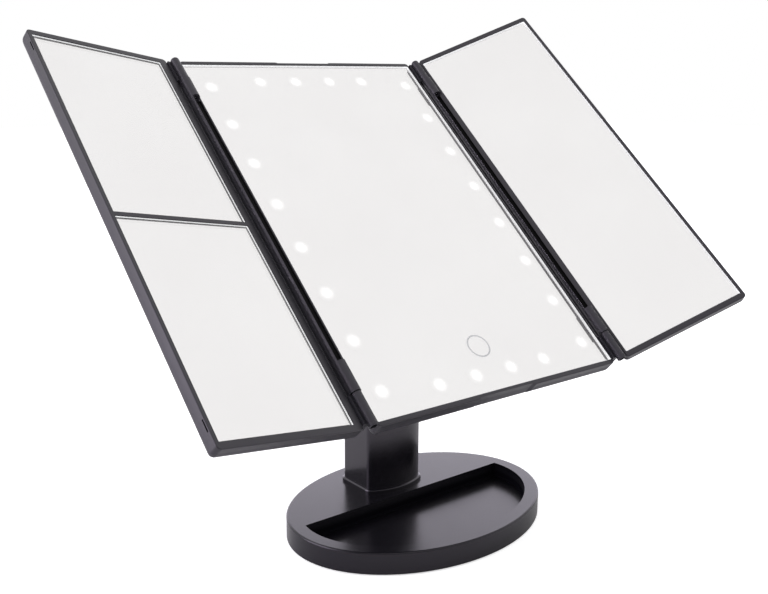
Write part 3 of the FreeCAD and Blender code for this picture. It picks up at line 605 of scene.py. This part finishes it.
def end_tree(tree, copies, inputs):
    """Copies at the seats, turned to face outwards, realized and given their material."""
    facing = add(tree, "GeometryNodeInputNamedAttribute", {"Name": "facing"}, data_type="FLOAT_VECTOR")
    aligned = add(tree, "FunctionNodeAlignRotationToVector", {"Vector": facing.outputs[0]}, axis="Z")
    placed = add(tree, "GeometryNodeInstanceOnPoints", {"Points": inputs["Geometry"], "Instance": copies,
                                                        "Rotation": aligned.outputs[0]})
    real = add(tree, "GeometryNodeRealizeInstances", {"Geometry": placed.outputs[0]})
    painted = add(tree, "GeometryNodeSetMaterial", {"Geometry": real.outputs[0],
                                                    "Material": inputs["Material"]})
    out = tree.nodes.new("NodeGroupOutput")
    tree.links.new(painted.outputs[0], out.inputs[0])


def grown(name, tree, points, material, sizes, body):
    """Run a tree on a point cloud and keep its result as a plain mesh."""
    seed = loose_object(name + "_seats", points)
    growth = seed.modifiers.new("growth", "NODES")
    growth.node_group = tree
    values = dict(sizes, Material=material)
    for item in tree.interface.items_tree:
        if item.in_out == "INPUT" and item.name in values:
            growth[item.identifier] = values[item.name]
    view = bpy.context.evaluated_depsgraph_get()
    mesh = bpy.data.meshes.new_from_object(seed.evaluated_get(view))
    seed.modifiers.remove(growth)
    bpy.data.objects.remove(seed)
    mesh.name = name
    return as_piece(name, mesh, body)


print("growing tools ready")

# %% [markdown]
# ### The frosted dots
# Around the centre glass the silver is etched away in twenty-four dots, and a lamp shines through each.
# The glow is white at a dot's middle and fades into the mirror around it.  A texture would need the dots'
# places again, so each disc stores its own distance from its middle, and the material turns that into the
# fade.  At its rim a disc is silver like the glass around it, so no transparency is needed, which would be
# grainy.  The discs sit inside the glass, just in front of the silver.

# %% Frosted dots
dot_sizes = {"Radius": 6.2 * MM, "Thickness": 0.01 * MM}
silver_gap = 0.02 * MM  # between the silver and what lies in front of it
dot_depth = glass_high.y - pane_gap - silver_gap


def glowing_frost():
    """Silvering that is etched away towards a dot's middle, where the lamp shines through."""
    made, tree, shader = new_finish("glowing_frost", Emission_Color=(1, 1, 1, 1))
    out = add(tree, "ShaderNodeAttribute", attribute_name="from_middle").outputs["Fac"]
    etched = add(tree, "ShaderNodeMapRange", {"Value": out, "From Min": 0.10, "From Max": 1.0,
                                              "To Min": 1.0, "To Max": 0.0},
                 interpolation_type="SMOOTHSTEP").outputs["Result"]
    halo = number_math(tree, "MULTIPLY", etched, etched)
    core = ranged(tree, etched, 0.0, 0.6, 0.6, 1.0)
    feed(tree, shader,
         Base_Color=haze_and_colour(tree)[1],
         Metallic=ranged(tree, etched, 1.0, 0.0, 0.6, 1.0),
         Roughness=core,
         Emission_Strength=number_math(tree, "MULTIPLY_ADD", halo, 0.4, core))
    return made


def dot_tree(sizes):
    """Thin discs that store each corner's distance from the middle as a share of the radius."""
    tree, inputs = new_tree("frosted_dots", sizes)
    disc = add(tree, "GeometryNodeMeshCylinder",
               {"Vertices": 40, "Side Segments": 1, "Fill Segments": 1, "Radius": inputs["Radius"],
                "Depth": inputs["Thickness"]}, fill_type="TRIANGLE_FAN")
    spot = add(tree, "GeometryNodeInputPosition").outputs[0]
    away = vector_math(tree, "LENGTH", vector_math(tree, "MULTIPLY", spot, (1, 1, 0)))
    share = number_math(tree, "DIVIDE", away, inputs["Radius"])
    stored = add(tree, "GeometryNodeStoreNamedAttribute",
                 {"Geometry": disc.outputs["Mesh"], "Name": "from_middle", "Value": share},
                 data_type="FLOAT", domain="POINT")
    end_tree(tree, stored.outputs[0], inputs)
    return tree


finishes["frosted"] = glowing_frost()
dot_points = [places["head"] @ Vector(((a.x + b.x) / 2, dot_depth, (a.z + b.z) / 2))
              for a, b in solid_boxes("light_windows", places["head"])]
dot_seats = seats("dot_seats", dot_points, [-panel_back] * len(dot_points))
dots = grown("frosted_dots", dot_tree(dot_sizes), dot_seats, finishes["frosted"], dot_sizes, "head")
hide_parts("light_windows")
print("dots:", len(dot_points))

# %% [markdown]
# ### The touch ring
# The light is switched by touching a thin grey ring in the lower part of the glass.  It is printed on the
# back like the dots, so it is a flat band bent into a ring and laid just in front of the silver.  The
# paint isn't quite even, and a slow drift in its shade shows that.

# %% Touch ring
ring_grey = coated("ring_grey", (0.42, 0.42, 0.44, 1), (0.66, 0.66, 0.68, 1), 0.5, 8.0, 0.002)
# Painted light: the ring's grey glows faintly, standing in for light that doesn't reach it through the glass.
finishes["ring_etch"] = with_painted_glow(ring_grey, 0.30)
ring_width, ring_thickness = 0.9 * MM, 0.04 * MM


def touch_ring(steps=96):
    """A printed ring; returns its radius."""
    where = places["head"]
    low, high = solid_boxes("touch_ring", where)[0]
    middle = (low + high) / 2
    outer = (high.x - low.x) / 2
    inner = outer - ring_width
    front, back = dot_depth - ring_thickness, dot_depth
    made = bmesh.new()
    rows = []
    for step in range(steps):
        turn = 2 * math.pi * step / steps
        rows.append([made.verts.new((middle.x + r * math.cos(turn), y, middle.z + r * math.sin(turn)))
                     for r, y in ((inner, front), (outer, front), (outer, back), (inner, back))])
    for row, after in zip(rows, rows[1:] + rows[:1]):
        for corner in range(4):
            following = (corner + 1) % 4
            made.faces.new((row[corner], row[following], after[following], after[corner]))
    bmesh.ops.recalc_face_normals(made, faces=made.faces)
    made.transform(where)
    piece = as_piece("touch_ring_print", made, "head", finishes["ring_etch"])
    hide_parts("touch_ring")
    return outer


print("touch ring", round(2 * touch_ring() / MM, 1), "mm across")

# %% [markdown]
# ### Screws
# The screws under the base and on the back show their heads, and a plain disc there reads as a stand-in.
# One screw is turned from a profile, with a rounded head, and a cross is cut into it with a Boolean.  The
# tree then copies it to each seat.  A seat is read from the plain screw's box: the middle of its outer face.

# %% One screw
SQUARE = ((-1, -1), (1, -1), (1, 1), (-1, 1))


def turned(profile, steps=24):
    """A solid of revolution about z from (radius, height) points, closed at both poles."""
    made = bmesh.new()
    rows = []
    for radius, height in profile:
        if radius == 0:
            rows.append([made.verts.new((0, 0, height))] * steps)
        else:
            rows.append([made.verts.new((radius * math.cos(2 * math.pi * i / steps),
                                         radius * math.sin(2 * math.pi * i / steps), height))
                         for i in range(steps)])
    for row, after in zip(rows, rows[1:]):
        for i in range(steps):
            j = (i + 1) % steps
            corners = dict.fromkeys((row[i], row[j], after[j], after[i]))
            made.faces.new(list(corners))
    bmesh.ops.recalc_face_normals(made, faces=made.faces)
    return made


def cross_cutter(reach, width, depth):
    """Two tapered bars that cut the cross for a driver."""
    made = bmesh.new()
    above, narrower, thinner = 0.2 * MM, 0.55, 0.7
    for long_x, long_y in ((reach, width), (width, reach)):
        top = [made.verts.new((x * long_x, y * long_y, above)) for x, y in SQUARE]
        low = [made.verts.new((x * long_x * narrower, y * long_y * thinner, -depth)) for x, y in SQUARE]
        made.faces.new(top)
        made.faces.new(reversed(low))
        for i in range(4):
            j = (i + 1) % 4
            made.faces.new((top[j], top[i], low[i], low[j]))
    bmesh.ops.recalc_face_normals(made, faces=made.faces)
    return made


def screw_pattern(head_r, head, shank_r, length):
    """One screw whose head's outer face is at the origin, facing up z."""
    crown_r, crown_dip, edge = head_r * 0.55, 0.03 * MM, 0.3 * MM
    cross_reach, cross_width, cross_depth = head_r * 0.58, head_r * 0.13, head * 0.62
    profile = [(0, 0), (crown_r, -crown_dip), (head_r - edge, -edge * 0.5), (head_r, -edge * 1.6),
               (head_r, -head), (shank_r, -head), (shank_r, -length + shank_r), (0, -length)]
    blank = loose_object("screw_blank", turned(profile))
    cutter = loose_object("cross_cutter", cross_cutter(cross_reach, cross_width, cross_depth))
    cut = blank.modifiers.new("cross", "BOOLEAN")
    cut.operation = "DIFFERENCE"
    cut.solver = "EXACT"
    cut.use_self = True
    cut.object = cutter
    mesh = bpy.data.meshes.new_from_object(blank.evaluated_get(bpy.context.evaluated_depsgraph_get()))
    bpy.data.objects.remove(blank)
    bpy.data.objects.remove(cutter)
    return loose_object("screw_pattern", mesh)


print("screw pattern ready")

# %% Screws at their seats
DOWN = Vector((0, 0, -1))
BACK = Vector((0, 1, 0))  # the rear of the stand, which doesn't lean like the panels
head_thickness, shank_radius = 1.2 * MM, 1.1 * MM


def screws(node, body, facing):
    """Cross-head screws in place of a node's plain ones; returns how many."""
    turn = facing.to_track_quat("Z", "Y").to_matrix().to_4x4()
    boxes = solid_boxes(node, turn)
    low, high = boxes[0]
    pattern = screw_pattern((high.x - low.x) / 2, head_thickness, shank_radius, high.z - low.z)
    points = [turn @ Vector(((a.x + b.x) / 2, (a.y + b.y) / 2, b.z)) for a, b in boxes]
    tree, inputs = new_tree("screws", {})
    source = add(tree, "GeometryNodeObjectInfo", {"Object": pattern})
    end_tree(tree, source.outputs["Geometry"], inputs)
    piece = grown(node + "_cross_head", tree, seats(node, points, [facing] * len(points)),
                  finishes["steel"], {}, body)
    bpy.data.objects.remove(pattern)
    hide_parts(node)
    return len(points)


screw_count = screws("base_screws", "stand", DOWN) + screws("neck_screws", "stand", DOWN)
screw_count += screws("neck_seam_screws", "stand", BACK) + screws("bracket_screws", "head", panel_back)
print("screws:", screw_count)

# %% [markdown]
# ### Springs in the battery box
# With its door off, the box shows eight contacts: at each end of a cell either a coil spring or a flat
# button.  The frame holds plain cones and studs there.  A cone is told from a stud by its wide foot, whose
# corners lie between the stud's radius and the plate's edge.  The coils are grown from a spiral curve with
# a round wire swept along it; plates and buttons are rounded pieces, and all of them end up in one mesh.

# %% Coils, plates and buttons
leaf, wire = 0.5 * MM, 0.32 * MM  # thickness of a plate and radius of a coil's wire
coil_sizes = {"Steps": 20, "Turns": 3.5, "Foot": 2.6 * MM, "Head": 1.6 * MM, "Height": 2.7 * MM,
              "Wire": wire}


def coil_tree(sizes):
    """A conical coil of round wire that rises from its seat."""
    tree, inputs = new_tree("coil_springs", sizes)
    path = add(tree, "GeometryNodeCurveSpiral",
               {"Resolution": inputs["Steps"], "Rotations": inputs["Turns"], "Height": inputs["Height"],
                "Start Radius": inputs["Foot"], "End Radius": inputs["Head"]})
    ring = add(tree, "GeometryNodeCurvePrimitiveCircle", {"Resolution": 10, "Radius": inputs["Wire"]})
    swept = add(tree, "GeometryNodeCurveToMesh", {"Curve": path.outputs[0], "Fill Caps": True,
                                                  "Profile Curve": ring.outputs[0]})
    end_tree(tree, swept.outputs[0], inputs)
    return tree


def rounded_block(made, low, high, width):
    """Add a box with rounded edges to a bmesh."""
    size, middle = high - low, (low + high) / 2
    at = Matrix.Translation(middle) @ Matrix.Diagonal((*size, 1))
    corners = bmesh.ops.create_cube(made, size=1.0, matrix=at)["verts"]
    edges = list({e for v in corners for e in v.link_edges})
    bmesh.ops.bevel(made, geom=edges, offset=width, segments=2, profile=0.7, affect="EDGES")


def add_button(made, foot, way, reach):
    """Add a low stud with a rounded rim that stands on a plate."""
    foot_r, side_r, rim_r = 1.8 * MM, 1.9 * MM, 1.5 * MM
    foot_rise, shoulder, rim_drop = 0.4 * MM, 0.5 * MM, 0.1 * MM
    button = turned([(0, 0), (foot_r, 0), (side_r, foot_rise), (side_r, reach - shoulder),
                     (rim_r, reach - rim_drop), (0, reach)])
    button.transform(Matrix.Translation(foot) @ Matrix.Diagonal((1, way, way, 1)))
    mesh = bpy.data.meshes.new("button")
    button.to_mesh(mesh)
    button.free()
    made.from_mesh(mesh)
    bpy.data.meshes.remove(mesh)


print("contact helpers ready")

# %% Battery contacts
plate_corner, spring_foot = 5.0 * MM, (2.4 * MM, 3.6 * MM)  # distances from a contact's axis
plate_round, coil_lift = 0.12 * MM, wire * 0.8  # a plate's rounding, and its coil's height above it


def battery_contacts():
    """Plates with coils and buttons in place of the plain contacts; returns how many coils."""
    where = places["head"]
    copy = merged_copy("battery_contacts", where)
    made, points, facing = bmesh.new(), [], []
    for group in islands(copy):
        low, high = box_of(group)
        middle = (low + high) / 2
        away = {v: math.hypot(v.co.x - middle.x, v.co.y - middle.y) for v in group}
        plate = [v.co.z for v in group if away[v] > plate_corner]
        way = 1 if sum(plate) / len(plate) < middle.z else -1
        root = low.z if way == 1 else high.z
        face = root + way * leaf
        ends = sorted((root, face))
        rounded_block(made, Vector((low.x, low.y, ends[0])), Vector((high.x, high.y, ends[1])), plate_round)
        if any(spring_foot[0] < r < spring_foot[1] for r in away.values()):
            points.append(where @ Vector((middle.x, middle.y, face + way * coil_lift)))
            facing.append(panel_up * way)
        else:
            add_button(made, (middle.x, middle.y, face), way, high.z - low.z - leaf)
    copy.free()
    made.transform(where)
    coil_seats = seats("coil_seats", points, facing)
    coils = grown("coils", coil_tree(coil_sizes), coil_seats, finishes["contact"], coil_sizes, "head")
    made.from_mesh(coils.data)
    bpy.data.objects.remove(coils)
    for face in made.faces:
        face.material_index = 0
    piece = as_piece("battery_contact_set", made, "head", finishes["contact"])
    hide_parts("battery_contacts")
    return len(points)


print("coil springs:", battery_contacts())

# %% [markdown]
# ### A quiet studio
# The object is black and its panes reflect whatever is around it, so the room matters as much as the
# lamps.  The world is pale behind and above and darker on the eye's side, which keeps the faces turned to
# the eye deep black.  A wide lit wall stands behind: the polished base mirrors it at a low angle.  One
# soft box on the left gives the left faces their sheen.  The background is white by its own colour, for
# the eye and for the panes, and the floor still takes a soft shadow.

# %% Floor
floor_half, floor_glow = 4.0, 0.62  # half its side in metres, and the strength that the eye adds


def floor_finish():
    """A pale, matt floor that turns white to the eye where no shadow falls."""
    made, tree, shader = new_finish("pale_floor", Roughness=0.9, Specular_IOR_Level=0.0,
                                    Emission_Color=(1, 1, 1, 1))
    drift = noise(tree, object_point(tree), 400.0, 2.0)
    seen = add(tree, "ShaderNodeLightPath").outputs["Is Camera Ray"]
    feed(tree, shader,
         Base_Color=mixed(tree, drift, (0.86, 0.86, 0.86, 1), (0.88, 0.88, 0.88, 1)),
         Emission_Strength=ranged(tree, seen, 0.0, floor_glow, 0.0, 1.0))
    return made


made = bmesh.new()
made.faces.new([made.verts.new((x * floor_half, y * floor_half, 0)) for x, y in SQUARE])
floor = loose_object("floor", made)
floor.data.materials.append(floor_finish())
print("floor laid")

# %% World
eye_side = 0.30  # strength on the eye's side; it is 1 on the far side
away_from_eye = Vector((0.616, 0.786, 0.0))
fade_behind = (-0.9, 0.1)  # between these shares of that direction the world turns pale
fade_above = (0.45, 0.75)  # and between these heights


def make_world():
    """A world that is pale behind, above and to the camera, and darker on the eye's side."""
    world = bpy.data.worlds.new("studio")
    bpy.context.scene.world = world
    world.use_nodes = True
    tree = world.node_tree
    tree.nodes.clear()
    facing = add(tree, "ShaderNodeTexCoord").outputs["Generated"]
    depth = vector_math(tree, "DOT_PRODUCT", facing, away_from_eye)
    height = add(tree, "ShaderNodeSeparateXYZ", {"Vector": facing}).outputs["Z"]
    level = ranged(tree, depth, eye_side, 1.0, *fade_behind)
    seen = add(tree, "ShaderNodeLightPath").outputs["Is Camera Ray"]
    for pale in (ranged(tree, height, 0.0, 1.0, *fade_above), seen):
        level = number_math(tree, "MAXIMUM", level, pale)
    shade = add(tree, "ShaderNodeBackground", {"Color": (1, 1, 1, 1), "Strength": level})
    add(tree, "ShaderNodeOutputWorld", {"Surface": shade.outputs[0]})


make_world()
print("world set")

# %% Lamps


def soft_box(name, where, aim, width, height, power, colour):
    """A wide lamp that shines from one point towards another."""
    lamp = bpy.data.lights.new(name, "AREA")
    lamp.color = colour
    lamp.shape = "RECTANGLE"
    lamp.size = width
    lamp.size_y = height
    lamp.energy = power
    holder = loose_object(name, lamp)
    holder.location = where
    holder.rotation_euler = (Vector(aim) - Vector(where)).to_track_quat("-Z", "Y").to_euler()


soft_box("left_soft_box", (-1.1, 0.35, 0.45), (0, 0, 0.15), 0.9, 1.1, 9.0, (1.0, 0.93, 1.08))
soft_box("lit_wall", (0.95, 1.20, 0.42), (0, 0, 0.10), 3.4, 0.9, 10.5, (0.98, 0.92, 1.12))
print("lamps:", sorted(lamp.name for lamp in bpy.data.lights))

# %% [markdown]
# ### The camera
# The eye stands to the left of the mirror and a little above it.  The lens is a short portrait one, and
# the picture's middle is shifted by about a hundredth of its width, as a light crop would do.

# %% Camera
camera_azimuth, camera_elevation, camera_roll = -38.106, 12.655, 0.315  # degrees
camera_aim = Vector((-25.47, 0, 141.20)) * MM
camera_distance = 525.4 * MM
camera_lens, camera_film = 45.49, 36.0  # mm
camera_shift = (0.00139, -0.01078)


def make_camera():
    """The camera, aimed at a point from its distance, azimuth and elevation."""
    a, e, r = (math.radians(v) for v in (camera_azimuth, camera_elevation, camera_roll))
    back = Vector((math.sin(a) * math.cos(e), -math.cos(a) * math.cos(e), math.sin(e)))
    level = Vector((math.cos(a), math.sin(a), 0))
    up = back.cross(level)
    right = level * math.cos(r) + up * math.sin(r)
    up = back.cross(right)
    data = bpy.data.cameras.new("camera")
    data.sensor_width = camera_film
    data.lens = camera_lens
    data.shift_x, data.shift_y = camera_shift
    data.clip_start = 0.05
    made = loose_object("camera", data)
    turn = Matrix((right, up, back)).transposed().to_4x4()
    made.matrix_world = Matrix.Translation(camera_aim + back * camera_distance) @ turn
    bpy.context.scene.camera = made
    return made


camera = make_camera()
print("camera at", [round(c, 3) for c in camera.location])

bpy.context.scene.view_settings.view_transform = "Standard"
